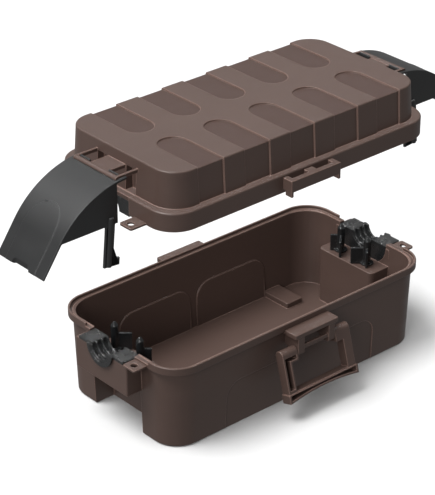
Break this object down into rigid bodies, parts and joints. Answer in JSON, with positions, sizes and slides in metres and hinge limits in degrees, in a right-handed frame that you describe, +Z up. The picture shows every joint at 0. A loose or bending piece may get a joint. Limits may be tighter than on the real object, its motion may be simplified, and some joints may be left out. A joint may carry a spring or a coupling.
{
  "type": "outdoor cable connection box",
  "caption": "Weatherproof cable connection box: open tub, fluted lift-off lid, ribbed cable seals, strain-relief posts, hinged cable hoods and over-centre buckles.",
  "frame": {"origin": "centre of the tub's footprint, on the surface it stands on", "axes": "+X along the length towards the right-hand cable exit, -Y the front side, which has the lock tabs, +Z up"},
  "size_m": [0.4808, 0.2078, 0.254],
  "materials": {
    "shell_brown": "dark brown moulded plastic, satin",
    "buckle_brown": "dark brown moulded plastic, satin",
    "hood_black": "black moulded plastic, satin",
    "seal_black": "soft black elastomer",
    "post_black": "black moulded plastic, glossy",
    "gasket_grey": "dark grey foamed elastomer",
    "screw_steel": "zinc-plated steel",
    "pin_steel": "turned stainless steel"
  },
  "bodies": {
    "base": {"base_tub": "shell_brown", "left_end_block": "shell_brown", "right_end_block": "shell_brown", "front_latch_bracket": "shell_brown", "back_latch_bracket": "shell_brown", "left_tub_lug": "shell_brown", "right_tub_lug": "shell_brown", "left_lower_seal": "seal_black", "right_lower_seal": "seal_black", "front_left_post": "post_black", "back_left_post": "post_black", "front_right_post": "post_black", "back_right_post": "post_black", "front_left_post_screw": "screw_steel", "back_left_post_screw": "screw_steel", "front_right_post_screw": "screw_steel", "back_right_post_screw": "screw_steel", "front_left_buckle_pin": "pin_steel", "front_right_buckle_pin": "pin_steel", "back_left_buckle_pin": "pin_steel", "back_right_buckle_pin": "pin_steel"},
    "lid": {"lid_shell": "shell_brown", "left_lid_end": "shell_brown", "right_lid_end": "shell_brown", "front_lid_catch": "shell_brown", "back_lid_catch": "shell_brown", "left_lid_lug": "shell_brown", "right_lid_lug": "shell_brown", "front_gasket": "gasket_grey", "back_gasket": "gasket_grey", "left_upper_seal": "seal_black", "right_upper_seal": "seal_black"},
    "left_hood": {"left_hood": "hood_black"},
    "right_hood": {"right_hood": "hood_black"},
    "front_buckle": {"front_buckle": "buckle_brown"},
    "back_buckle": {"back_buckle": "buckle_brown"}
  },
  "joints": [
    {"name": "lid_lift", "type": "slide", "parent": "base", "child": "lid", "axis": [0, 0, 1], "range_m": [-0.128, 0]},
    {"name": "left_hood_hinge", "type": "hinge", "parent": "lid", "child": "left_hood", "pos_m": [-0.1605, 0, 0.2434], "axis": [0, 1, 0], "range_deg": [-5.2, 75]},
    {"name": "right_hood_hinge", "type": "hinge", "parent": "lid", "child": "right_hood", "pos_m": [0.1605, 0, 0.2434], "axis": [0, -1, 0], "range_deg": [-5.2, 75]},
    {"name": "front_buckle_hinge", "type": "hinge", "parent": "base", "child": "front_buckle", "pos_m": [0, -0.0865, 0.0585], "axis": [-1, 0, 0], "range_deg": [-16, 164]},
    {"name": "back_buckle_hinge", "type": "hinge", "parent": "base", "child": "back_buckle", "pos_m": [0, 0.0865, 0.0585], "axis": [1, 0, 0], "range_deg": [-16, 164]}
  ]
}
